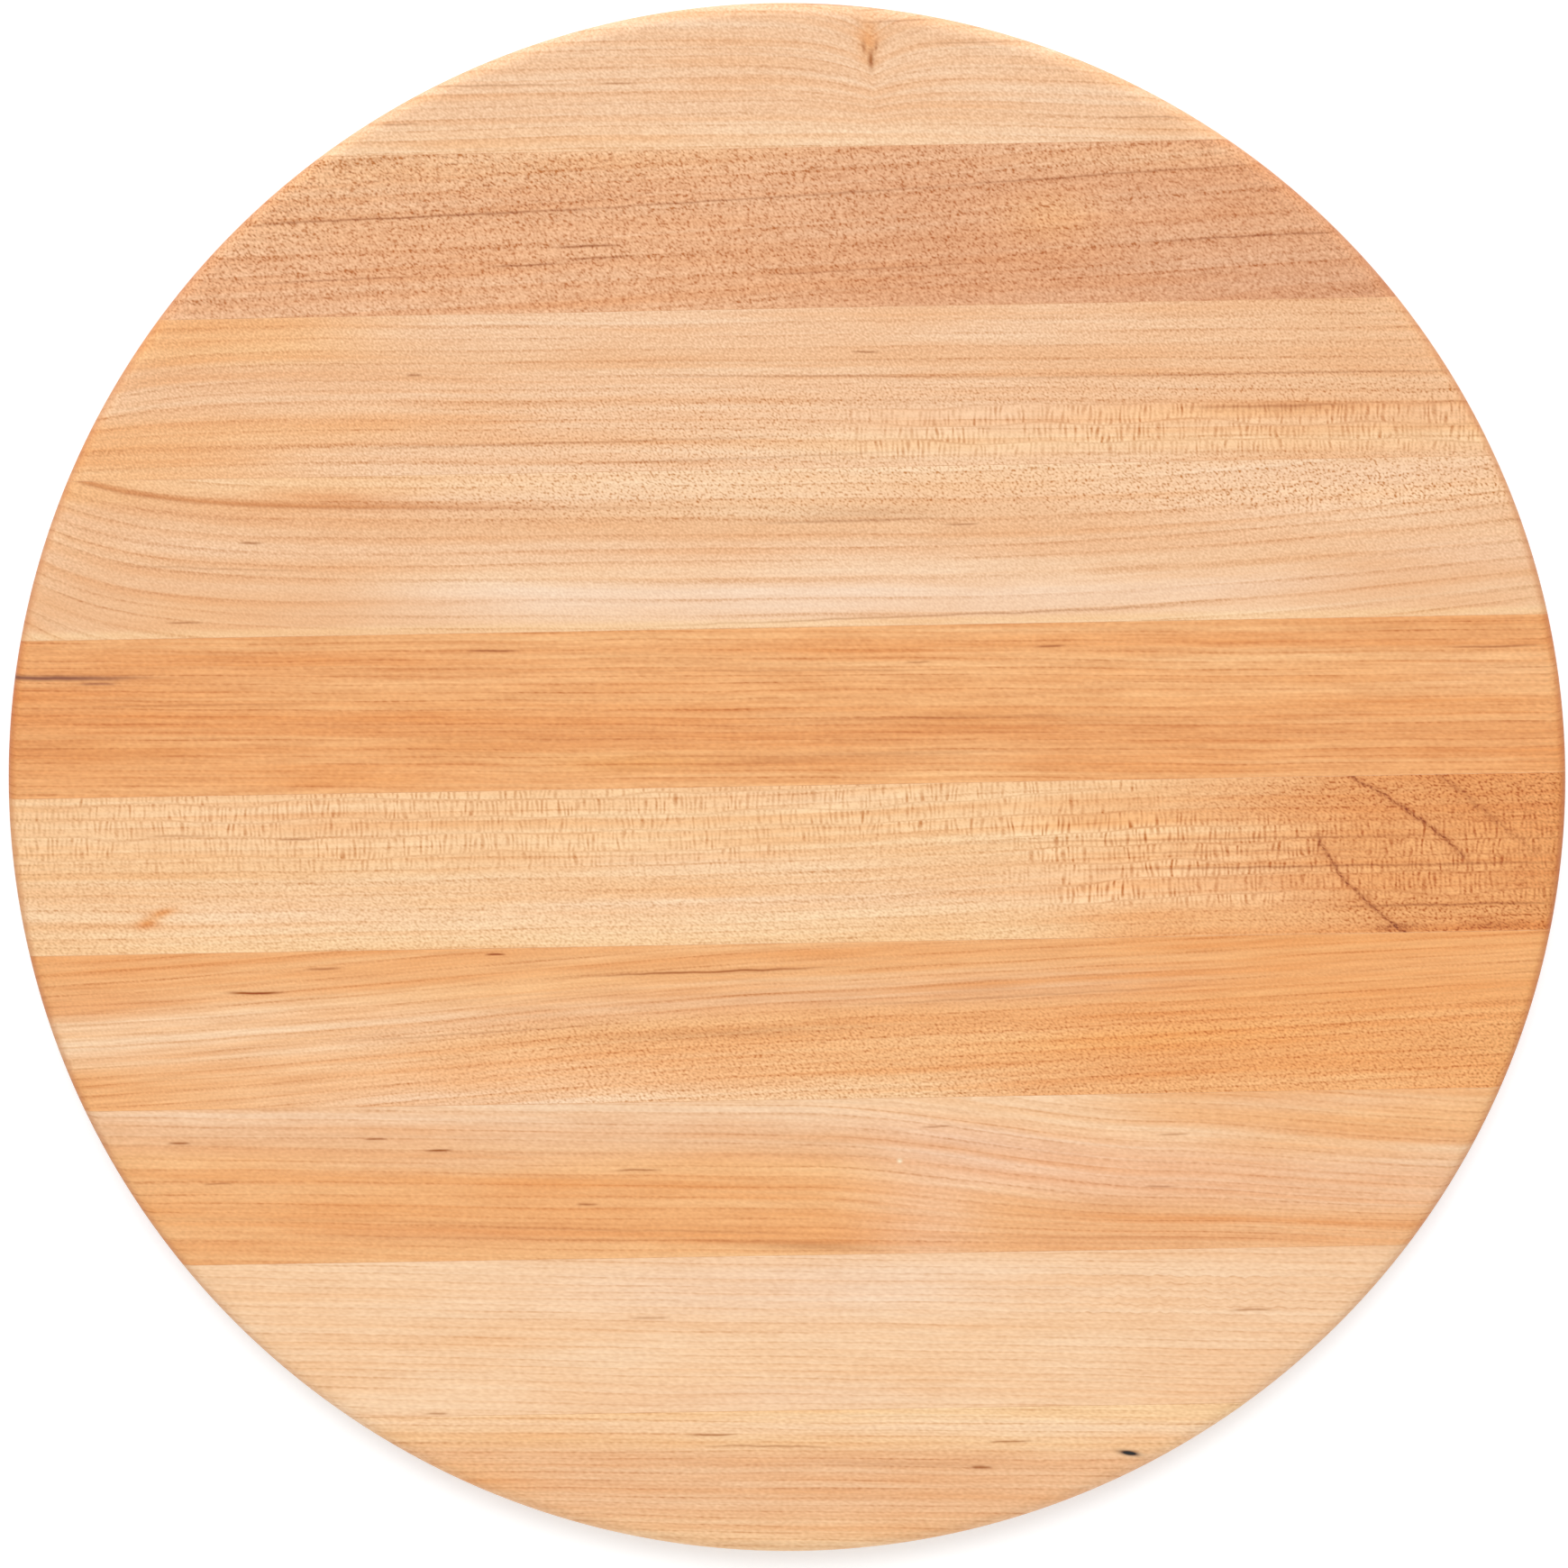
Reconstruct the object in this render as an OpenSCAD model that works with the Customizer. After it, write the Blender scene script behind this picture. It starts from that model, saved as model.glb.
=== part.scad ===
// Round chopping block of edge-grain hard maple, in millimetres.
// Straight strips are glued side by side, cut round and eased on the rim of both faces.
// The board lies flat with +Z up and its strips along X.
// The origin is the centre of the face it rests on.

/* [Board] */
// Diameter of the finished board
board_d = 457.2; // [300:0.1:520]
// Thickness of the finished board
board_t = 38.1; // [25:0.1:60]
// Radius of the rounding along the rim of each face
edge_r = 4; // [1:0.25:10]

/* [Strips] */
// Width of one strip as it is ripped, before it is glued
strip_w = 46.4; // [30:0.1:60]
// Thickness of the cured glue in a joint
glue_t = 0.12; // [0.05:0.01:0.4]
// How far the glued panel lies off the centre of the round, towards the first strip
panel_shift = 0.8; // [-5:0.1:5]

/* [Hidden] */
$fn = 180;
board_r = board_d / 2;
pitch = strip_w + glue_t;
// The panel is glued from as few strips as reach across the round
strip_count = ceil(board_d / pitch);
joint_count = strip_count - 1;
// How far a cutting slab reaches past the board, so that no faces coincide
past = 5;
// Wood tones from the first strip to the last, then round again
strip_tones = [
    "#F0C8A2", "#E6B48A", "#F1C39A", "#F3C8A0", "#EAAE74",
    "#F2C594", "#F0BF8E", "#EEB98A", "#F6CEA6", "#F3C596"
];

// Middle of joint i, where joint i lies between strip i and strip i + 1
function joint_y(i) = panel_shift + (strip_count / 2 - i) * pitch;

// Lower and upper edge of strip i; the outermost strips run out past the rim
function strip_low(i) = i == strip_count ? -board_r - past : joint_y(i) + glue_t / 2;
function strip_high(i) = i == 1 ? board_r + past : joint_y(i - 1) - glue_t / 2;

// Half of the board's section: straight wall and flat faces, joined by quarter rounds
module half_section() {
    square([board_r - edge_r, board_t]);
    translate([0, edge_r])
        square([board_r, board_t - 2 * edge_r]);
    for (z = [edge_r, board_t - edge_r])
        translate([board_r - edge_r, z])
            circle(r = edge_r);
}

// The whole round, as it is once the glued panel has been cut and its rims eased
module round_blank() {
    rotate_extrude()
        half_section();
}

// The part of the round between two straight cuts along X
module slice(low, high) {
    intersection() {
        round_blank();
        translate([-board_r - past, low, -past])
            cube([board_d + 2 * past, high - low, board_t + 2 * past]);
    }
}

// One maple strip, counted from the +Y side
module strip(i) {
    color(strip_tones[(i - 1) % len(strip_tones)])
        slice(strip_low(i), strip_high(i));
}

// The cured glue between strip i and strip i + 1, flush with the faces and the rim
module glue_line(i) {
    color("#A9794E")
        slice(joint_y(i) - glue_t / 2, joint_y(i) + glue_t / 2);
}

for (i = [1 : strip_count])
    strip(i);
for (i = [1 : joint_count])
    glue_line(i);
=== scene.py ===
"""Round chopping block of edge-grain hard maple: ten glued strips, cut round and eased on both rims.

The board lies flat. The strips run along X, and strip 1 is on the +Y side.
"""

import math

import bmesh
import bpy
from mathutils import Matrix, Vector


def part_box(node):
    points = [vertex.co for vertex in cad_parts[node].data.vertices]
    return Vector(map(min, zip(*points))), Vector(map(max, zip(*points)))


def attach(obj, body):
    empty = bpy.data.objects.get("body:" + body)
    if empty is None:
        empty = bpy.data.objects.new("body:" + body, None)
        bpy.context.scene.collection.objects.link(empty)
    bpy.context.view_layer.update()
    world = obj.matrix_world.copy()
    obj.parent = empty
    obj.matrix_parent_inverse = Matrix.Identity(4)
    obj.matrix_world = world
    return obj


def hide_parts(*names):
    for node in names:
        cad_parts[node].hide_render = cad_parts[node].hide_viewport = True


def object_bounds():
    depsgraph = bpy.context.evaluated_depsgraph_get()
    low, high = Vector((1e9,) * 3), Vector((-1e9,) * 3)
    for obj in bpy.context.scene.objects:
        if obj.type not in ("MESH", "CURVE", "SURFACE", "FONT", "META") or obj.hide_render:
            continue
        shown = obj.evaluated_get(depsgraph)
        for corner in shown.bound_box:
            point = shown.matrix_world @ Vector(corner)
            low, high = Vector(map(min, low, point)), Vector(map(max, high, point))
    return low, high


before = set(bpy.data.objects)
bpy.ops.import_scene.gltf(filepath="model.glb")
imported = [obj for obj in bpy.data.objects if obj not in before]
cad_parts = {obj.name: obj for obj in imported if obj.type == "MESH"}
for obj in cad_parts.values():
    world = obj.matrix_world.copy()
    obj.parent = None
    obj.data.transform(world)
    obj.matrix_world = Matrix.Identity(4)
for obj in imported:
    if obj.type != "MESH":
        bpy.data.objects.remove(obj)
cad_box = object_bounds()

# Strip 1
# The strip at the top of the round, of hard maple, as they all are: ripped, planed, glued edge to
# edge, sawn round, its rims eased with a router and sanded. This one is pale and even, and a pin
# knot lies just under its face, with the lines dipping round it.
BOARD_RADIUS = cad_box[1][0]
BOARD_THICKNESS = cad_box[1][2]
EDGE_ROUNDING = 0.004
ARC_STEP = 0.002
ROUND_STEPS = 8
FACE_COLUMNS = 48
WELD_DISTANCE = 1e-6
SHARP_ANGLE = math.radians(40)


def rim_section():
    """(radius, height) up the rim: quarter round, straight wall, quarter round."""
    core = BOARD_RADIUS - EDGE_ROUNDING
    turns = [k / ROUND_STEPS * math.pi / 2 for k in range(ROUND_STEPS + 1)]
    low = [(core + EDGE_ROUNDING * math.sin(t), EDGE_ROUNDING * (1 - math.cos(t))) for t in turns]
    return low + [(radius, BOARD_THICKNESS - z) for radius, z in reversed(low)]


def add_patch(mesh, rows):
    """Joins rows of points, all of one length, with four-sided faces."""
    points = [[mesh.verts.new(point) for point in row] for row in rows]
    for row, above in zip(points, points[1:]):
        for k in range(len(row) - 1):
            mesh.faces.new((row[k], row[k + 1], above[k + 1], above[k]))


def across(x, y, z):
    """A row of points from -x to x."""
    return [(x * (2 * k / FACE_COLUMNS - 1), y, z) for k in range(FACE_COLUMNS + 1)]


def cut_piece(name, low, high, material):
    """The slice of the round between the straight cuts y = low and y = high."""
    first_turn = math.asin(max(low / BOARD_RADIUS, -1))
    last_turn = math.asin(min(high / BOARD_RADIUS, 1))
    steps = max(1, round(BOARD_RADIUS * (last_turn - first_turn) / ARC_STEP))
    rim = []
    for radius, z in rim_section():
        first = math.asin(max(low / radius, -1))
        last = math.asin(min(high / radius, 1))
        angles = [first + (last - first) * k / steps for k in range(steps + 1)]
        rim.append([(radius * math.cos(a), radius * math.sin(a), z) for a in angles])

    # The rim at either end of the slice, then its two faces and its two straight cuts
    mesh = bmesh.new()
    add_patch(mesh, rim)
    add_patch(mesh, [[(-x, y, z) for x, y, z in row] for row in rim])
    for face in (rim[0], rim[-1]):
        add_patch(mesh, [across(*point) for point in face])
    for cut in (0, -1):
        add_patch(mesh, [across(*row[cut]) for row in rim])
    bmesh.ops.remove_doubles(mesh, verts=mesh.verts, dist=WELD_DISTANCE)
    bmesh.ops.dissolve_degenerate(mesh, edges=mesh.edges, dist=WELD_DISTANCE)
    bmesh.ops.recalc_face_normals(mesh, faces=mesh.faces)
    for edge in mesh.edges:
        edge.smooth = edge.calc_face_angle(0) < SHARP_ANGLE

    data = bpy.data.meshes.new(name)
    mesh.to_mesh(data)
    mesh.free()
    data.polygons.foreach_set("use_smooth", [True] * len(data.polygons))
    data.materials.append(material)
    piece = bpy.data.objects.new(name, data)
    bpy.context.scene.collection.objects.link(piece)
    return piece


def tone(red, green, blue):
    """A colour given as the eye reads it, 0 to 255, as the light it stands for."""
    parts = [c / 255 for c in (red, green, blue)]
    return tuple(c / 12.92 if c <= 0.04045 else ((c + 0.055) / 1.055) ** 2.4 for c in parts) + (1.0,)


CREAM = tone(244, 202, 160)
PEACH = tone(239, 193, 152)
HONEY = tone(236, 169, 108)
GRAIN_BROWN = tone(202, 156, 92)
STREAK_BROWN = tone(242, 197, 124)
MARK_BROWN = tone(184, 146, 102)
END_BROWN = tone(232, 206, 184)


class Wire:
    """An output socket. Arithmetic on it adds Math nodes, and node() adds any other."""

    def __init__(self, socket):
        self.socket = socket

    def node(self, kind, settings=None, values=None, out=0):
        """Adds a node: its settings are set first, then its inputs from numbers or wires."""
        tree = self.socket.id_data
        node = tree.nodes.new(kind)
        for key, setting in (settings or {}).items():
            if key == "stops":
                set_stops(node.color_ramp, setting)
            else:
                setattr(node, key, setting)
        for key, value in (values or {}).items():
            if isinstance(value, Wire):
                tree.links.new(value.socket, node.inputs[key])
            else:
                node.inputs[key].default_value = value
        return Wire(node.outputs[out])

    def math(self, operation, *values):
        return self.node("ShaderNodeMath", {"operation": operation}, dict(enumerate((self, *values))))

    def __add__(self, other):
        return self.math("ADD", other)

    __radd__ = __add__

    def __sub__(self, other):
        return self.math("SUBTRACT", other)

    def __rsub__(self, other):
        return (self * -1) + other

    def __mul__(self, other):
        return self.math("MULTIPLY", other)

    __rmul__ = __mul__

    def __truediv__(self, other):
        return self.math("DIVIDE", other)

    def parts(self):
        """The three numbers of a vector."""
        split = self.node("ShaderNodeSeparateXYZ", {}, {0: self}).socket.node
        return [Wire(output) for output in split.outputs]

    def feed(self, node, name):
        """Joins this output to an input of another node."""
        self.socket.id_data.links.new(self.socket, node.inputs[name])

    def rises(self, start, end):
        """0 before start and 1 after end, smoothly between; falls if start is the larger."""
        settings = {"interpolation_type": "SMOOTHSTEP"}
        return self.node("ShaderNodeMapRange", settings, {0: self, 1: start, 2: end, 3: 0.0, 4: 1.0})

    def bell(self, middle, width):
        """1 at the middle, dying away over the width to either side."""
        off = (self - middle) / width
        return (off * off * -1).math("EXPONENT")

    def mix(self, other, amount, blend="MIX"):
        """This colour turned towards the other by an amount, which may go past 0 and 1."""
        settings = {"data_type": "RGBA", "blend_type": blend, "clamp_factor": False}
        return self.node("ShaderNodeMix", settings, {0: amount, 6: self, 7: other}, out=2)


def set_stops(ramp, stops):
    """Gives a colour ramp its (position, colour) stops."""
    while len(ramp.elements) > 1:
        ramp.elements.remove(ramp.elements[-1])
    for k, (position, colour) in enumerate(stops):
        element = ramp.elements[0] if k == 0 else ramp.elements.new(position)
        element.position = position
        element.color = colour


def noise(x, y, z, detail=1.0):
    """Soft noise from about -0.5 to 0.5, one lump to each unit of its three places."""
    where = x.node("ShaderNodeCombineXYZ", {}, {0: x, 1: y, 2: z})
    values = {"Vector": where, "Scale": 1.0, "Detail": detail, "Roughness": 0.55}
    return where.node("ShaderNodeTexNoise", {}, values) - 0.5


def new_material(name):
    """A new material, and the shader in it."""
    material = bpy.data.materials.new(name)
    material.use_nodes = True
    return material, material.node_tree.nodes["Principled BSDF"]


MM = 0.001


def board_place(material):
    """Where a point lies on the board, in millimetres from the middle of its back."""
    start = Wire(material.node_tree.nodes.new("ShaderNodeTexCoord").outputs["Object"])
    return start.node("ShaderNodeVectorMath", {"operation": "SCALE"}, {0: start, "Scale": 1 / MM})


class Grain:
    """Where a point lies in one strip, in millimetres: x along it, v across it, w below its face.

    waver sets drawn lines a little out of true, and end is 1 where the cut runs across the fibres.
    """

    def __init__(self, name, middle, seed, tilt):
        self.material, self.shader = new_material(name)
        self.x, across_board, height = board_place(self.material).parts()
        self.v = across_board - middle
        self.w = BOARD_THICKNESS / MM - height
        self.seed = seed
        self.tilt = tilt
        self.waver = noise(self.x / 9, self.v / 9, self.w / 30 + seed) * 0.9
        geometry = self.material.node_tree.nodes.new("ShaderNodeNewGeometry")
        along_grain = Wire(geometry.outputs["Normal"]).parts()[0]
        self.end = along_grain.math("ABSOLUTE").rises(0.25, 0.95)

    def spot(self, x, v, length, width, lean=0.0):
        """A soft patch with its middle at x, v, drawn out along the strip, leaning up to the right."""
        along = self.x.bell(x, length)
        return along * (self.v - (self.x - x) * lean).bell(v, width)

    def dash(self, start, end, v, width, strength=1.0, lean=0.0):
        """A thin dash from start to end, with v at its middle, leaning up to the right."""
        from_middle = self.x - (start + end) / 2
        off = from_middle / ((end - start) / 2)
        square = off * off
        line = (self.v + self.waver - from_middle * lean).bell(v, width)
        return (square * square * -1.0).math("EXPONENT") * line * strength


FLECK_ROW = 5.3
FLECK_STEP = 1.5


def ray_flecks(grain, age, bold):
    """Rows of short upright dashes, as rays show on a face cut along them, with a line between rows."""
    x, w, seed = grain.x, grain.w, grain.seed
    rows = age / FLECK_ROW + noise(age / 9, x / 35, w / 20 + seed) * 1.1
    row = rows.math("FLOOR")
    edge = (rows.math("FRACT") - 0.5).math("ABSOLUTE")
    crowd = noise(x / 14, row * 3.1, w / 14 + seed, 1.0) * 2.0 + 0.9
    bars = x / FLECK_STEP + row * 0.37 + noise(x / 4, row * 3.7 + age / 9, w / 5 + seed) * 2.0
    bar = (bars.math("FRACT") - 0.5).math("ABSOLUTE").rises(0.42, 0.06)
    heft = noise(bars.math("FLOOR") * 1.9, row * 7.3 + age / 3.5, w / 5 + seed + 3, 0.0) * 2.2 + 0.5
    dashes = (bar * heft.math("MAXIMUM", 0.0) - 0.3) * edge.rises(0.5, 0.4) * bold
    crowded = crowd.math("MAXIMUM", 0.25)
    return dashes * crowded + edge.rises(0.42, 0.5) * crowded * 0.25


low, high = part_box("strip_5")
STRIP_WIDTH = (high[1] - low[1]) / MM


def maple(
    grain, rise, tones, *, spacing, lines, fibres, weave, thread, marks, stains,
    streaks=1.0, dots=None, flecks=None, bold=1.0,
):
    """Dresses one strip. rise is how far its grain has risen, tones its colours from low to high v.

    spacing is how far apart its growth lines lie, and thread how long the threads of its woven look
    are. lines, streaks, fibres, weave, dots and flecks are strengths, and bold is how dark the
    flecks are. marks are brown lines and spots, and stains are (mask, colour) pairs.
    """
    x, v, w, seed = grain.x, grain.v, grain.w, grain.seed
    sway = noise(x / 110, v / 30, w / 30 + seed, 2.0) * 3.0
    age = v - rise + w * grain.tilt + sway

    # Its own tones, in bands that follow the growth lines and fray into streaks
    streak = noise(x / 170, age / 3.5, w / 40 + seed, 3.0)
    bands = (v - rise + streak * 7 * streaks + STRIP_WIDTH / 2) / STRIP_WIDTH
    stops = [(at / STRIP_WIDTH + 0.5, colour) for at, colour in tones]
    colour = bands.node("ShaderNodeValToRGB", {"stops": stops}, {0: bands})
    for mask, stain in stains:
        colour = colour.mix(stain, mask)

    # Growth lines, strong ones and faint ones, and the fibres and fine threads that break them up
    ring = age / spacing + noise(age / 11, x / 500, w / 500 + seed) * 2.2
    part = ring.math("FRACT")
    own = noise(ring.math("FLOOR") * 1.7, x / 50, w / 60 + seed + 4, 2.0) * 2.6 + 0.6
    latewood = part.rises(0.68, 0.9) * part.rises(1.0, 0.93) * own.math("MAXIMUM", 0.0)
    fibre = noise(x / 22, age / 0.95, w / 0.95 + seed, 1.0)
    woven = noise((x + v * 0.5) / thread, v / 0.68, w / 0.68 + seed + 2, 0.0)
    fine = latewood * (woven * 1.5 + 1.0) * lines + fibre * fibres + woven * weave
    if dots is not None:
        fine = fine + woven.rises(0.06, 0.3) * dots
    if flecks is not None:
        fine = fine + ray_flecks(grain, age, bold) * flecks

    # The face, and the redder end grain that shows where the rim cuts across the fibres
    cloud = noise(x / 60, v / 12, w / 40 + seed + 9, 2.0)
    broad = streak * (1.3 * streaks) + part * 0.12 + cloud * 0.6
    streaky = colour.mix(STREAK_BROWN, broad, "MULTIPLY")
    face = streaky.mix(GRAIN_BROWN, fine.math("MINIMUM", 1.0), "MULTIPLY")
    for mark in marks:
        face = face.mix(MARK_BROWN, mark, "MULTIPLY")
    pores = noise(x / 3, v / 0.3, w / 0.3 + seed)
    sawn = streaky.mix(END_BROWN, 1.0, "MULTIPLY")
    ends = sawn.mix(GRAIN_BROWN, pores * 0.6 + latewood * lines, "MULTIPLY")
    face.mix(ends, grain.end).feed(grain.shader, "Base Color")

    # A satin, sanded surface, not quite smooth
    rough = 0.5 + fibre * 0.12 + latewood * 0.04
    rough.feed(grain.shader, "Roughness")
    height = fibre * -0.6 - latewood * 0.4 - woven * 0.5
    bump = height.node("ShaderNodeBump", {}, {"Strength": 0.3, "Distance": 0.0001, "Height": height})
    bump.feed(grain.shader, "Normal")
    grain.shader.inputs["IOR"].default_value = 1.4
    return grain.material


SEED_STEP = 17.3
MOST_TILT = 0.25
TILT_TURN = 2.1


def fit_strip(number, dress):
    """Cuts strip number from the round, dresses it and sets it in place of its plain solid.

    Its middle is measured from its joint on the side of the board's middle, because the round has
    cut the far side of the outermost strips. Each board's growth lines slant their own way inside.
    """
    node = f"strip_{number}"
    low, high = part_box(node)
    inner, outward = (low[1], 1) if high[1] > 0 else (high[1], -1)
    middle = inner / MM + outward * STRIP_WIDTH / 2
    tilt = MOST_TILT * math.sin(number * TILT_TURN)
    grain = Grain(f"maple_{node}", middle, number * SEED_STEP, tilt)
    piece = cut_piece(f"{node}_wood", low[1], high[1], dress(grain))
    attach(piece, "root")
    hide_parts(node)


def strip_1(grain):
    x, v = grain.x, grain.v

    # The growth lines dip to a point at the knot, and sink a little to its right
    depth = v.rises(-24, 6) * 9.0
    cusp = ((x - 29).math("ABSOLUTE") / -11).math("EXPONENT")
    rise = depth * cusp * -1 - x.rises(30, 140) * 4
    tones = [(-23, CREAM), (-12, PEACH), (6, PEACH), (20, PEACH)]
    stains = [
        (x.rises(20, 80) * v.rises(-12, -22) * 0.6, PEACH),
        (grain.spot(28, 7, 3, 7) * 0.8, HONEY),
    ]
    marks = [
        grain.spot(28.6, 1.6, 0.8, 2.6, 0.1) * 1.1,
        grain.spot(26.6, 5.2, 0.6, 1.8, -0.3) * 0.7,
        grain.spot(30.2, 5.4, 0.5, 1.6, 0.3) * 0.6,
        grain.dash(-22, 6, 21.5, 0.3, 0.4, -0.17),
        grain.dash(5, 32, 17.6, 0.3, 0.5, -0.07),
        grain.dash(10, 30, 20.6, 0.3, 0.45, -0.09),
        grain.dash(24, 46, 16.2, 0.3, 0.45, 0.05),
        grain.dash(27, 47, 12.6, 0.3, 0.5, 0.03),
        grain.dash(-105, -60, -3.8, 0.3, 0.45),
        grain.dash(-50, -40, -3.8, 0.3, 0.6),
        grain.dash(-115, -103, -14.5, 0.3, 0.5),
        grain.dash(45, 75, 6, 0.3, 0.35),
        grain.dash(96, 120, -16.5, 0.3, 0.5, -0.03),
    ]
    return maple(
        grain, rise, tones, spacing=3.2, lines=0.25, fibres=0.25, weave=0.85, thread=0.7,
        marks=marks, stains=stains,
    )


fit_strip(1, strip_1)


# Strip 2
# The second strip down, of the same maple, ripped from a darker, rosier board and glued along both
# edges. It is cut nearly on the ray, so that its face is thick with small dark specks.
TAN = tone(230, 174, 130)
LIGHT_TAN = tone(235, 183, 137)
ROSE_TAN = tone(221, 161, 118)
DUSKY_ROSE = tone(214, 155, 115)
APRICOT = tone(238, 177, 119)


def strip_2(grain):
    x, v = grain.x, grain.v
    rise = x * 0.042 + x.rises(20, 160) * 3.0 * v.rises(-20, 10)
    tones = [(-23, TAN), (0, TAN), (14, TAN), (23, LIGHT_TAN)]
    stains = [
        (x.rises(-60, -170) * v.rises(-8, 2) * 0.5, LIGHT_TAN),
        (x.rises(-40, 60) * 0.85, ROSE_TAN),
        (x.rises(60, 150) * v.rises(0, -20) * 0.5, DUSKY_ROSE),
        (grain.spot(80, 2, 14, 7) * 0.5, APRICOT),
        (grain.spot(105, 19, 50, 4) * 0.6, LIGHT_TAN),
    ]
    coarse = noise((x + v * 0.5) / 0.95, v / 0.95, grain.w / 0.95 + 3, 0.0).rises(0.06, 0.3)
    marks = [
        grain.dash(-150, -60, 5.2, 0.35, 0.8, 0.03),
        grain.dash(-60, 50, 8.8, 0.3, 0.55, 0.045),
        grain.dash(50, 140, 13.7, 0.3, 0.55, 0.05),
        grain.dash(-64, -46, -4.2, 0.35, 0.95, 0.02),
        grain.dash(-82, -64, -9.3, 0.3, 0.8, 0.03),
        grain.dash(-60, -42, -7.6, 0.3, 0.7, 0.04),
        grain.dash(-10, 60, -12.4, 0.3, 0.4, 0.035),
        grain.dash(110, 168, -4.8, 0.3, 0.6, 0.03),
        grain.dash(-150, -100, -12.5, 0.3, 0.5, 0.02),
        coarse * x.rises(0, -60) * v.rises(0, 8) * 0.45,
    ]
    speckled = x.rises(180, 20) * v.rises(-26, -6) * 0.6 + 0.4
    return maple(
        grain, rise, tones, spacing=5.5, lines=0.3, streaks=0.7, fibres=0.4, weave=1.4, thread=0.65,
        dots=speckled * 0.42, marks=marks, stains=stains,
    )


fit_strip(2, strip_2)


# Strip 3
# Light peach maple, ripped and glued along both edges. Its fine lines bend down towards its left
# end, and a band of ray flecks lies low on its right half.
STRAW = tone(242, 195, 145)


def strip_3(grain):
    x, v = grain.x, grain.v
    bend = ((x + 200) / -20).math("EXPONENT")
    rise = bend * (v.bell(4, 16) * -6) - x * 0.012
    tones = [(-23, PEACH), (-12, PEACH), (3, PEACH), (8, LIGHT_TAN), (15, PEACH), (23, PEACH)]
    stains = [
        (x.rises(-80, -190) * 0.5, LIGHT_TAN),
        (x.rises(-100, -190) * v.rises(-6, -14) * 0.8, APRICOT),
        (x.rises(-90, -150) * v.rises(7, 13) * 0.9, APRICOT),
        (x.rises(60, 170) * 0.9, LIGHT_TAN),
        (x.rises(-50, -130) * v.bell(-9, 5) * 0.7, APRICOT),
        (grain.spot(105, -10, 30, 4) * 0.5, APRICOT),
        (grain.spot(0, -16, 45, 4) * 0.5, CREAM),
        (v.bell(-17, 4) * x.rises(-20, 40) * 0.7, STRAW),
        (grain.spot(140, -9, 40, 2.5) * 0.7, HONEY),
    ]
    band = v.rises(-24, -19) * v.rises(-3, -8) * x.rises(0, 40)
    marks = [
        grain.dash(22, 29, 10.2, 0.3, 0.8),
        grain.dash(-108, -104, 6, 0.35, 0.8),
        grain.dash(60, 215, 1.8, 0.3, 0.4),
        grain.dash(-30, 60, 3.3, 0.3, 0.4, -0.02),
        grain.dash(120, 165, -7.6, 0.45, 0.5),
        grain.spot(145, -8.4, 18, 1.2) * 0.25,
        grain.dash(-120, 0, -14.6, 0.35, 0.35, 0.012),
        grain.dash(-60, 40, -20, 0.35, 0.3, 0.02),
    ]
    dotted = v.rises(6, -6) * x.rises(-160, -20) * (1 - band)
    return maple(
        grain, rise, tones, spacing=4.0, lines=0.3, fibres=0.3, weave=1.0 - band * 0.6, thread=0.65,
        dots=dotted * 0.4 + x.rises(40, 160) * 0.15, flecks=band * 0.8, marks=marks, stains=stains,
    )


fit_strip(3, strip_3)


# Strip 4
# Maple glued along both edges: yellow cream above a brown line that sweeps down from the left end,
# and pale pinkish cream below it, whose lines turn up at both ends.
PALE_CREAM = tone(243, 207, 175)
YELLOW_CREAM = tone(245, 202, 152)
WARM_CREAM = tone(242, 199, 156)
WARM_TAN = tone(232, 178, 132)
AMBER = tone(222, 146, 82)
SWEEP_BROWN = tone(206, 130, 70)
SWEEP_EDGE = tone(226, 158, 100)


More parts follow.
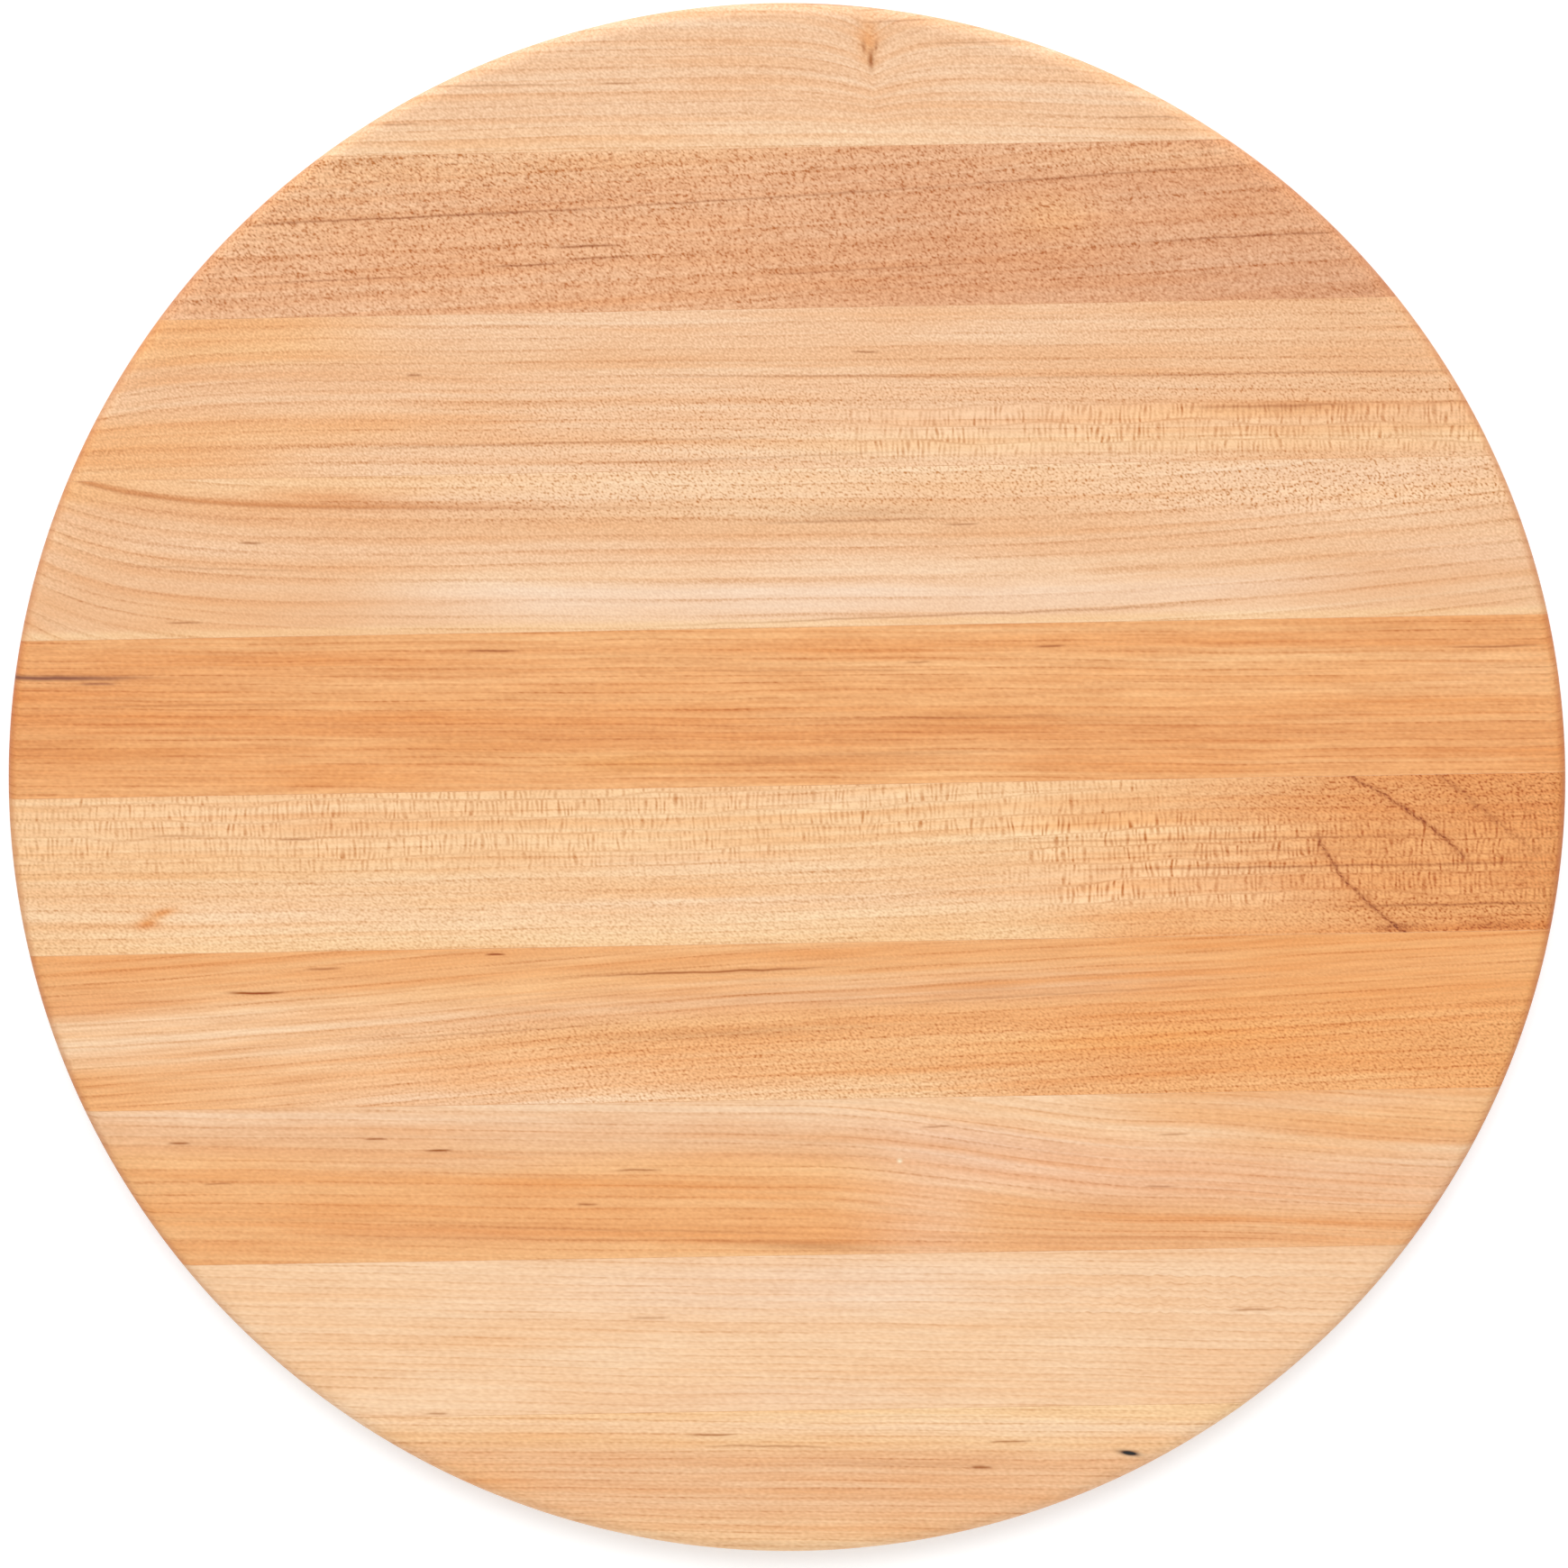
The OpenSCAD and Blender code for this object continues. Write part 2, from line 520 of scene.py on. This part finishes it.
def strip_4(grain):
    x, v = grain.x, grain.v

    # The lines come down steeply from the left end, and turn up again past the middle
    left = ((x + 212) / -27).math("EXPONENT") * 11.5
    right = (x - 40).math("MAXIMUM", 0.0)
    rise = left + right * right * 0.00034 - x * 0.012
    age = v - rise
    tones = [
        (-23, CREAM), (-15, PALE_CREAM), (-8, CREAM), (-2, PEACH), (4, LIGHT_TAN),
        (11, LIGHT_TAN), (14, PEACH), (18, CREAM),
    ]
    stains = [
        (x.rises(-70, -140) * v.rises(4, -4) * 0.9, LIGHT_TAN),
        (x.rises(-120, -190) * v.rises(-8, -15) * 0.9, APRICOT),
        (x.rises(-170, -205) * v.rises(12, 4) * 0.8, LIGHT_TAN),
        (x.rises(-60, -150) * v.rises(14, 20) * 0.7, STRAW),
        (x.rises(-160, -205) * v.rises(15, 20) * 0.6, APRICOT),
        (x.rises(-60, -130) * v.rises(-8, -14) * 0.5, LIGHT_TAN),
        (x.rises(120, 180) * v.rises(8, 0) * 0.8, LIGHT_TAN),
        (grain.spot(110, -5, 60, 5) * 0.8, LIGHT_TAN),
        (x.rises(60, 140) * v.bell(13, 8) * 0.9, CREAM),
        (grain.spot(0, 12, 60, 6) * 0.8, WARM_CREAM),
        (grain.spot(140, 9, 35, 4) * 0.6, PALE_CREAM),
        (grain.spot(205, 8, 22, 4) * 0.6, WARM_TAN),
        (grain.spot(200, -4, 25, 4) * 0.5, PALE_CREAM),
        (grain.spot(50, -21, 50, 3) * 0.6, PALE_CREAM),
        (grain.spot(-100, 14, 30, 3.5) * 0.7, PEACH),
        (grain.spot(160, 19, 60, 5) * 0.6, PALE_CREAM),
        (grain.spot(10, -13, 70, 7) * 0.8, PALE_CREAM),
        (grain.spot(-132, 17.2, 18, 1.8, -0.05) * 0.55, AMBER),
        (grain.spot(-155, 15.5, 30, 2.4, -0.04) * 0.5, APRICOT),
        (v.rises(-20, -22) * 0.7, YELLOW_CREAM),
        (age.bell(12.4, 0.8) * x.rises(-40, -130) * 0.8, SWEEP_BROWN),
        (age.bell(13.0, 1.7) * x.rises(-20, -100) * 0.25, SWEEP_EDGE),
    ]
    marks = [
        age.bell(12.0, 0.5) * x.rises(60, -60) * 0.2,
        grain.spot(24, 10, 24, 1.6) * 0.25,
        grain.dash(-5, 45, 7.6, 0.4, 0.45, 0.01),
        grain.dash(48, 57, 6, 0.3, 0.7),
        grain.dash(-180, -170, -18.7, 0.3, 0.7),
        grain.dash(-158, -152, 4.3, 0.35, 0.8),
        grain.dash(-190, -140, -3, 0.3, 0.3, -0.05),
        grain.dash(-30, 110, -20.6, 0.3, 0.45, 0.022),
    ]
    dotted = v.rises(6, 13) * x.rises(-140, -60)
    band = grain.spot(170, 13, 60, 6)
    return maple(
        grain, rise, tones, spacing=4.4, lines=0.3, streaks=0.6, fibres=0.25,
        weave=v.rises(-16, 4) * 0.4 + 0.45, thread=0.7, dots=dotted * 0.5 + band * 0.3,
        flecks=band * 0.5, marks=marks, stains=stains,
    )


fit_strip(4, strip_4)


# Strip 5
# Honey-coloured maple heartwood, cut on the quarter and glued along both edges: close, straight
# lines, and a dark mineral streak that runs in from its left end.
DEEP_HONEY = tone(230, 159, 98)
RIPE_HONEY = tone(230, 158, 88)
PALE_APRICOT = tone(239, 182, 128)
MINERAL_BROWN = tone(124, 68, 52)
MINERAL_EDGE = tone(150, 84, 56)


def strip_5(grain):
    x, v = grain.x, grain.v
    rise = x * -0.016
    tones = [(-23, HONEY), (-17, HONEY), (-8, DEEP_HONEY), (1, HONEY), (9, APRICOT), (23, HONEY)]
    stains = [
        (x.rises(-150, -220) * v.rises(20, 14) * 0.6, DEEP_HONEY),
        (x.rises(-50, -110) * v.rises(4, 12) * 0.7, DEEP_HONEY),
        (grain.spot(-35, 14.5, 40, 3.5) * 0.8, DEEP_HONEY),
        (grain.spot(60, 21, 60, 3) * 0.8, APRICOT),
        (x.rises(60, 180) * v.rises(12, 18) * 0.8, DEEP_HONEY),
        (x.rises(70, 120) * v.bell(7, 4) * 0.9, APRICOT),
        (grain.spot(-100, -20, 80, 4) * 0.8, APRICOT),
        (grain.spot(-200, 20, 40, 3) * 0.6, APRICOT),
        (grain.spot(205, 7, 25, 5) * 0.9, PALE_APRICOT),
        (grain.spot(0, -4, 26, 4) * 0.7, APRICOT),
        (grain.spot(55, -16, 25, 3) * 0.6, APRICOT),
        (grain.spot(57, -5, 22, 4) * 0.6, AMBER),
        (grain.spot(-205, -10, 25, 4) * 0.6, AMBER),
        (grain.spot(-95, -10, 20, 4) * 0.6, AMBER),
        (grain.spot(-45, -16, 25, 3) * 0.6, RIPE_HONEY),
        (grain.spot(150, -21, 40, 3) * 0.5, APRICOT),
        (grain.spot(100, 20, 40, 3) * 0.5, APRICOT),
        (grain.spot(-50, -21, 40, 3) * 0.5, APRICOT),
        (grain.dash(-262, -190, 12.3, 0.75, 0.9, -0.01), MINERAL_BROWN),
        (grain.dash(-206, -196, 10.4, 0.45, 0.7), MINERAL_EDGE),
        (grain.spot(-182, -10.5, 14, 1.6, -0.02) * 0.6, AMBER),
    ]
    marks = [
        grain.dash(-92, -78, 18, 0.35, 0.9),
        grain.dash(0, 95, -4, 0.5, 0.3),
        grain.spot(0, -16, 40, 1.2, 0.03) * 0.25,
        grain.dash(74, 82, 16.4, 0.35, 0.8),
        grain.dash(36, 43, 12.5, 0.3, 0.6),
        grain.dash(195, 220, 14, 0.35, 0.7),
        grain.dash(-200, -140, 3.5, 0.35, 0.4),
        grain.dash(-60, 60, 10.6, 0.3, 0.3, -0.012),
        grain.spot(30, -14.2, 60, 0.5) * 0.2,
    ]
    return maple(
        grain, rise, tones, spacing=2.4, lines=0.34, streaks=1.25, fibres=0.85, weave=0.45, thread=1.2,
        marks=marks, stains=stains,
    )


fit_strip(5, strip_5)


# Strip 6
# Yellow cream maple with rows of ray flecks along its upper half, glued along both edges. Its right
# end runs into the dark, close-figured wood round a knot, with ragged dark lines curving through.
PALE_PEACH = tone(239, 187, 138)
WARM_STRAW = tone(242, 190, 135)
KNOT_WOOD = tone(226, 154, 92)
KNOT_RUST = tone(206, 126, 70)
FLARE_AMBER = tone(228, 150, 80)
FLARE_HONEY = tone(230, 156, 88)


def strip_6(grain):
    x, v = grain.x, grain.v
    rise = x.rises(-40, 140) * 4.5
    tones = [(-23, YELLOW_CREAM), (-12, CREAM), (0, STRAW), (12, STRAW), (23, STRAW)]
    edge = noise(x / 14, v / 10, grain.w / 20, 2.0) * 20
    knotty = (x + edge - v.bell(-21, 7) * 24).rises(105, 175)

    # How far a point lies from each of the four ragged lines in the wood round the knot
    wave = noise(x / 5, v / 5, grain.w / 9 + 4, 2.0) * 3.0
    down = 5.5 - v
    bay = (x - 155.9 + wave - down * 0.36 - down * down * 0.018).math("ABSOLUTE")
    fall = 22.6 - v
    ridge = (x - 166.5 + wave - fall * 1.72 + fall * fall * 0.016).math("ABSOLUTE")
    spur = (x - 193.6 + wave * 2.0 + (v - 21.4) * 1.2).math("ABSOLUTE")
    shore = (v + 21.6 - wave * 0.6).math("ABSOLUTE")

    stains = [
        (x.rises(-160, -210) * v.rises(-4, -12) * 0.6, STRAW),
        (grain.spot(-150, 16, 60, 9) * 0.6, PALE_PEACH),
        (grain.spot(40, -17, 50, 4) * 0.7, STRAW),
        (grain.spot(0, 20, 30, 3) * 0.6, CREAM),
        (grain.spot(148, -21.5, 20, 3) * 0.6, STRAW),
        (grain.spot(-25, 1, 50, 4) * 0.7, CREAM),
        (grain.spot(-100, -10, 30, 4) * 0.5, WARM_STRAW),
        (x.rises(60, 110) * 0.5, APRICOT),
        (x.rises(60, 110) * v.rises(-12, -18) * 0.8, HONEY),
        (knotty * 0.95, KNOT_WOOD),
        (bay.bell(0, 2.4) * v.rises(8, 3) * 0.3, KNOT_RUST),
        (ridge.bell(0, 2.4) * v.rises(-6, 3) * 0.35, KNOT_RUST),
        ((x + v * 0.7 + edge).rises(190, 215) * 0.6, AMBER),
        (grain.spot(-188.5, -14.2, 3.4, 1.5, 0.15) * 0.9, FLARE_AMBER),
        (grain.spot(-184.2, -11.2, 4.2, 1.3, 0.25) * 0.9, FLARE_HONEY),
    ]
    left_flecks = v.rises(-4, 4) * x.rises(60, -20) * (1 - grain.spot(-200, 0, 30, 8) * 0.5)
    top_flecks = v.rises(5, 11) * x.rises(-20, 60) * x.rises(130, 90)
    right_flecks = v.rises(-16, -12) * v.rises(16, 8) * x.rises(50, 90)
    flecked = left_flecks + top_flecks + right_flecks
    crumble = noise((x + v) / 0.7, (v - x) / 1.6, grain.w / 3, 1.0).rises(-0.1, 0.16) * 0.65 + 0.35
    lines = [
        (bay, 0.75, v.rises(8, 3) * 1.1),
        (ridge, 0.9, v.rises(-6, 3) * 1.2),
        (spur, 1.4, v.rises(-4, 8) * 0.6),
        (shore, 1.1, x.bell(179, 7) + x.bell(207, 8) * 0.7),
    ]
    marks = [far.bell(0, width) * reach * crumble for far, width, reach in lines]
    marks += [
        grain.dash(60, 200, 5.4, 0.35, 0.4),
        grain.dash(90, 170, 1.6, 0.3, 0.35),
        grain.dash(100, 225, -3.2, 0.4, 0.6),
        grain.dash(165, 225, -15.2, 0.4, 0.7),
        grain.dash(-186, -169, 11.5, 0.35, 0.3),
        grain.dash(-149, -139, 10, 0.35, 0.6),
    ]
    return maple(
        grain, rise, tones, spacing=3.4, lines=0.25, fibres=0.3,
        weave=knotty * 0.6 + 0.85 - flecked * 0.55, thread=0.8,
        dots=knotty * (1 - right_flecks * 0.7) * 0.45 + 0.12,
        flecks=flecked * 0.6 + right_flecks * 0.3, bold=1.1, marks=marks, stains=stains,
    )


fit_strip(6, strip_6)


# Strip 7
# Peach maple shot with orange streaks, ripped and glued along both edges like its neighbours. Its
# lines climb to the right.
SUNNY_STRAW = tone(245, 194, 146)
PALE_HONEY = tone(240, 181, 124)
BRIGHT_HONEY = tone(237, 167, 102)
SHADED_HONEY = tone(227, 153, 88)
ORANGE = tone(240, 164, 90)


def strip_7(grain):
    x, v = grain.x, grain.v
    rise = x * 0.035 + x.rises(0, -220) * -5
    tones = [
        (-23, STRAW), (-16, APRICOT), (-7, APRICOT), (0, APRICOT), (7, LIGHT_TAN), (14, APRICOT),
        (23, APRICOT),
    ]
    stains = [
        (x.rises(-60, -155) * v.bell(-1, 9), CREAM),
        (x.rises(-120, -200) * v.rises(8, 14) * 0.6, HONEY),
        (grain.spot(-90, -16, 70, 8) * 0.9, SUNNY_STRAW),
        (x.rises(-160, -215) * v.rises(-8, -16) * 0.7, HONEY),
        (x.rises(30, 80) * v.rises(-4, -12) * 0.8, HONEY),
        (x.rises(60, 150) * 0.9, BRIGHT_HONEY),
        (grain.spot(105, -7, 45, 4, 0.03) * 0.7, ORANGE),
        (grain.spot(100, -16, 30, 5) * 0.35, DEEP_HONEY),
        (x.rises(-160, -200) * v.bell(8, 4) * 0.6, DEEP_HONEY),
        (grain.spot(20, 2, 50, 3) * 0.5, HONEY),
        (grain.spot(-95, -7, 24, 5) * 0.5, HONEY),
        (grain.spot(205, -10, 25, 5) * 0.6, SHADED_HONEY),
        (grain.spot(150, -21, 40, 3) * 0.5, PALE_HONEY),
        (grain.spot(-60, -21.5, 75, 3.5) * 0.9, CREAM),
        (grain.spot(-95, -22, 40, 3.5) * 0.6, PALE_CREAM),
    ]
    marks = [
        grain.dash(-55, 8, 15.2, 0.35, 1.0, 0.02),
        grain.dash(-165, -150, 11.2, 0.4, 1.3),
        grain.dash(-89, -83.5, 21.3, 0.3, 1.3),
        grain.dash(-142, -132, 18, 0.4, 0.7),
        grain.spot(-20, -3, 40, 1.6, 0.03) * 0.25,
        grain.dash(20, 120, 6.5, 0.35, 0.35, 0.04),
        grain.dash(-130, -60, -2, 0.3, 0.35, 0.05),
    ]
    dotted = x.rises(-170, -40) * v.rises(8, -4)
    return maple(
        grain, rise, tones, spacing=3.0, lines=0.32, streaks=1.15, fibres=0.7 - dotted * 0.3,
        weave=dotted * 0.75 + 0.4, thread=0.8, dots=dotted * 0.28, marks=marks, stains=stains,
    )


fit_strip(7, strip_7)


# Strip 8
# Maple glued along both edges, pale above and orange-brown below on the left. Past the middle its
# lines swing down to the right through rosier wood, under a wedge of orange.
ROSE_CREAM = tone(240, 188, 148)
PINK_CREAM = tone(236, 192, 158)
SOFT_APRICOT = tone(235, 173, 119)
DULL_APRICOT = tone(228, 162, 108)
ROSE_HONEY = tone(227, 163, 112)
RUSTY_HONEY = tone(226, 152, 94)
BRIGHT_SPECK = tone(252, 240, 210)


def strip_8(grain):
    x, v = grain.x, grain.v
    swing = x.rises(5, 110) * -9.0 * v.rises(-26, -6)
    rise = x * -0.03 + swing - x.rises(110, 200) * 4
    age = v - rise
    tones = [
        (-23, APRICOT), (-16, HONEY), (-9, APRICOT), (3, APRICOT), (9, LIGHT_TAN), (15, PEACH),
        (23, CREAM),
    ]
    stains = [
        (grain.spot(-100, 7, 40, 4) * 0.8, LIGHT_TAN),
        (x.rises(5, 55) * age.rises(26, 14) * 0.9, ROSE_CREAM),
        (x.rises(30, 70) * age.rises(8, -4) * 0.9, APRICOT),
        (x.rises(80, 180) * 0.5, LIGHT_TAN),
        (x.rises(70, 120) * age.rises(25, 30) * 0.9, APRICOT),
        (x.rises(40, 80) * v.rises(-10, -16) * 0.8, SOFT_APRICOT),
        (x.rises(-100, -160) * v.rises(-12, -16) * 0.6, DEEP_HONEY),
        (grain.spot(-105, -15, 40, 3, -0.04) * 0.6, RUSTY_HONEY),
        (grain.spot(-50, 20, 45, 4) * 0.6, LIGHT_TAN),
        (grain.spot(150, 20, 40, 3) * 0.5, PEACH),
        (grain.spot(52, 8, 20, 5) * 0.6, PINK_CREAM),
        (grain.spot(150, 8, 35, 5) * 0.5, APRICOT),
        (grain.spot(-100, -4, 40, 4) * 0.5, HONEY),
        (grain.spot(100, -10, 40, 4) * 0.6, ROSE_HONEY),
        (grain.spot(105, -21, 45, 3) * 0.6, DULL_APRICOT),
        (grain.spot(31.5, 4.5, 0.7, 0.6) * 0.9, BRIGHT_SPECK),
    ]
    marks = [
        grain.dash(-184, -178, 13.4, 0.35, 1.0),
        grain.dash(-126, -120, 13.6, 0.3, 0.9),
        grain.dash(-108, -101, 10, 0.35, 1.1),
        grain.dash(-52, -40, 3, 0.35, 0.8),
        grain.dash(-64, -58, -7, 0.35, 0.8),
        grain.dash(-174, -166, 1, 0.3, 0.6),
        grain.dash(104, 112, -4.5, 0.3, 0.6),
        grain.dash(108, 116, 11, 0.3, 0.6),
        grain.dash(38, 47, 14.5, 0.3, 0.6),
        grain.dash(-190, 10, -12.0, 0.5, 0.15, -0.03),
        grain.dash(-100, 10, -15.0, 0.45, 0.3, -0.035),
        grain.dash(-140, 20, -17.5, 0.4, 0.25, -0.03),
        grain.spot(6, -20.6, 20, 1.4, -0.05) * 0.4,
        grain.dash(30, 150, -19.5, 0.5, 0.2, -0.02),
    ]
    return maple(
        grain, rise, tones, spacing=3.0, lines=0.3, streaks=1.2, fibres=0.45, weave=0.42,
        thread=1.1, marks=marks, stains=stains,
    )


fit_strip(8, strip_8)


# Strip 9
# The palest strip: cream maple sapwood, glued along both edges. Its close, even lines fall gently
# to the right, and crinkle a little near that end.
def strip_9(grain):
    x, v = grain.x, grain.v
    crinkle = noise(x / 3.0, v / 20, grain.w / 20) * grain.spot(115, 10, 45, 9) * 3.0
    rise = x * -0.03 + crinkle
    tones = [(-23, CREAM), (-14, CREAM), (4, CREAM), (23, CREAM)]
    stains = [
        (x.rises(60, 150) * 0.4, PEACH),
        (grain.spot(0, 14, 70, 9) * 0.9, PALE_CREAM),
        (grain.spot(-10, -19, 50, 4) * 0.5, PALE_CREAM),
    ]
    marks = [
        grain.dash(-48, -38, 5.3, 0.4, 0.5),
        grain.dash(129, 141, 4.6, 0.35, 0.7),
        grain.dash(-110, -104, -22.6, 0.35, 0.7),
    ]
    return maple(
        grain, rise, tones, spacing=2.35, lines=0.24, streaks=0.55, fibres=0.35, weave=0.4,
        thread=1.5, marks=marks, stains=stains,
    )


fit_strip(9, strip_9)


# Strip 10
# The strip at the foot of the round, glued along its one straight edge and sawn round with the
# rest. It is yellow cream at its joint, then tan with brown streaks and one dark pip.
PIP_BLACK = tone(62, 34, 24)


def strip_10(grain):
    x, v = grain.x, grain.v
    rise = x * -0.028
    tones = [
        (-20, STRAW), (-6, LIGHT_TAN), (9, LIGHT_TAN), (14, STRAW), (18, CREAM),
        (23, YELLOW_CREAM),
    ]
    stains = [
        (x.rises(-60, -110) * v.rises(14, 6) * 0.7, APRICOT),
        (grain.spot(98, 8.7, 2.7, 0.7, -0.15) * 1.6, PIP_BLACK),
    ]
    marks = [
        grain.dash(-32, -19, 16.3, 0.3, 0.9),
        grain.dash(-26, 8, 12.5, 0.3, 0.6, -0.03),
        grain.dash(57, 68, 12.8, 0.3, 0.9),
        grain.dash(51, 57, 5, 0.45, 1.0),
        grain.spot(30, 6.5, 26, 1.0, -0.02) * 0.2,
    ]
    return maple(
        grain, rise, tones, spacing=2.2, lines=0.33, fibres=0.5, weave=0.55, thread=1.4,
        marks=marks, stains=stains,
    )


fit_strip(10, strip_10)


# Glue lines
# Each joint is a film of wood glue squeezed thin in the clamps. It cures pale brown and is sanded
# flush with both faces and the rim, so it shows only as a hairline.
THICK_GLUE = tone(206, 142, 94)
THIN_GLUE = tone(232, 180, 134)
JOINTS = 9


def cured_glue():
    """Glue that is thicker and browner in some places than in others."""
    material, shader = new_material("cured_glue")
    where = board_place(material)
    lumps = where.node("ShaderNodeTexNoise", {}, {"Vector": where, "Scale": 0.25, "Detail": 3.0})
    values = {0: lumps.rises(0.35, 0.65), 6: THICK_GLUE, 7: THIN_GLUE}
    lumps.node("ShaderNodeMix", {"data_type": "RGBA"}, values, out=2).feed(shader, "Base Color")
    (0.45 + lumps * 0.2).feed(shader, "Roughness")
    bump = lumps.node("ShaderNodeBump", {}, {"Strength": 0.2, "Distance": 0.00005, "Height": lumps})
    bump.feed(shader, "Normal")
    return material


glue = cured_glue()
for number in range(1, JOINTS + 1):
    node = f"glue_line_{number}"
    low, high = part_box(node)
    film = cut_piece(f"{node}_film", low[1], high[1], glue)
    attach(film, "root")
    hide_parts(node)

# Floor and light
# A plain white floor under a soft light from overhead, a little towards the first strip, and a wide
# fill low on each side for the rim. What makes the floor and the sky white is seen by the camera,
# in reflections and through glass, but lights nothing, so the floor keeps the shadow.
FLOOR_REACH = 6.0
FLOOR_COLOUR = (0.83, 0.87, 0.90, 1)
FLOOR_GLOW = 0.26
AMBIENT = 0.5
WHITE = (1, 1, 1, 1)
floor_mesh = bpy.data.meshes.new("floor")
sides = [(-1, -1), (1, -1), (1, 1), (-1, 1)]
corners = [(x * FLOOR_REACH, y * FLOOR_REACH, 0) for x, y in sides]
floor_mesh.from_pydata(corners, [], [(0, 1, 2, 3)])
floor = bpy.data.objects.new("floor", floor_mesh)
bpy.context.scene.collection.objects.link(floor)


def seen_rays(tree):
    """1 for what the camera, a reflection or clear glass looks at, and 0 for the light it gives."""
    rays = tree.nodes.new("ShaderNodeLightPath").outputs
    kinds = [Wire(rays[kind]) for kind in ("Is Camera Ray", "Is Glossy Ray", "Is Transmission Ray")]
    return (kinds[0] + kinds[1] + kinds[2]).math("MINIMUM", 1.0)


white, floor_shader = new_material("white_floor")
floor_shader.inputs["Base Color"].default_value = FLOOR_COLOUR
floor_shader.inputs["Roughness"].default_value = 0.9
floor_shader.inputs["Emission Color"].default_value = WHITE
glow = seen_rays(white.node_tree) * FLOOR_GLOW
glow.feed(floor_shader, "Emission Strength")
floor_mesh.materials.append(white)


def sun(name, towards, softness, strength, fill=False):
    """Even light from one direction. A fill throws neither a shadow nor a highlight."""
    lamp = bpy.data.lights.new(name, "SUN")
    lamp.use_shadow = not fill
    lamp.angle = math.radians(softness)
    lamp.energy = strength
    holder = bpy.data.objects.new(name, lamp)
    holder.rotation_euler = Vector(towards).to_track_quat("Z", "Y").to_euler()
    holder.visible_glossy = not fill
    bpy.context.scene.collection.objects.link(holder)


sun("key", towards=(0, 0.38, 1.0), softness=14, strength=1.2)
sun("fill", towards=(-0.1, 1.0, 0.14), softness=60, strength=1.9, fill=True)
sun("weak_fill", towards=(0, -1.0, 0.1), softness=60, strength=0.75, fill=True)

world = bpy.data.worlds.new("studio")
bpy.context.scene.world = world
world.use_nodes = True
sky = world.node_tree.nodes["Background"]
sky.inputs["Color"].default_value = WHITE
brightness = AMBIENT + seen_rays(world.node_tree) * (1 - AMBIENT)
brightness.feed(sky, "Strength")

# Camera
# It looks almost squarely at the cutting face through a long lens, from a little towards the first
# strip. FACE_CENTRE is the pixel where the middle of the face stands in the picture.
VIEW_TILT = math.radians(6.2)
VIEW_TURN = math.radians(0.72)
VIEW_ROLL = math.radians(1.09)
VIEW_DISTANCE = 1.87
FOCAL_PIXELS = 7080
IMAGE_PIXELS = 1740
SENSOR_WIDTH = 36
FACE_CENTRE = (872.1, 875.0)
back = Vector((
    math.sin(VIEW_TURN) * math.cos(VIEW_TILT),
    math.sin(VIEW_TILT),
    math.cos(VIEW_TURN) * math.cos(VIEW_TILT),
))
right = Vector((0, 1, 0)).cross(back).normalized()
up = back.cross(right)
turned_right = right * math.cos(VIEW_ROLL) - up * math.sin(VIEW_ROLL)
turned_up = right * math.sin(VIEW_ROLL) + up * math.cos(VIEW_ROLL)
camera = bpy.data.objects.new("camera", bpy.data.cameras.new("camera"))
camera.data.sensor_width = SENSOR_WIDTH
camera.data.lens = SENSOR_WIDTH * FOCAL_PIXELS / IMAGE_PIXELS
camera.data.shift_x = (IMAGE_PIXELS / 2 - FACE_CENTRE[0]) / IMAGE_PIXELS
camera.data.shift_y = (FACE_CENTRE[1] - IMAGE_PIXELS / 2) / IMAGE_PIXELS
stand = Matrix.Translation(back * VIEW_DISTANCE + Vector((0, 0, BOARD_THICKNESS)))
turn = Matrix((turned_right, turned_up, back)).transposed().to_4x4()
camera.matrix_world = stand @ turn
bpy.context.scene.collection.objects.link(camera)
bpy.context.scene.camera = camera
bpy.context.scene.view_settings.view_transform = "Standard"
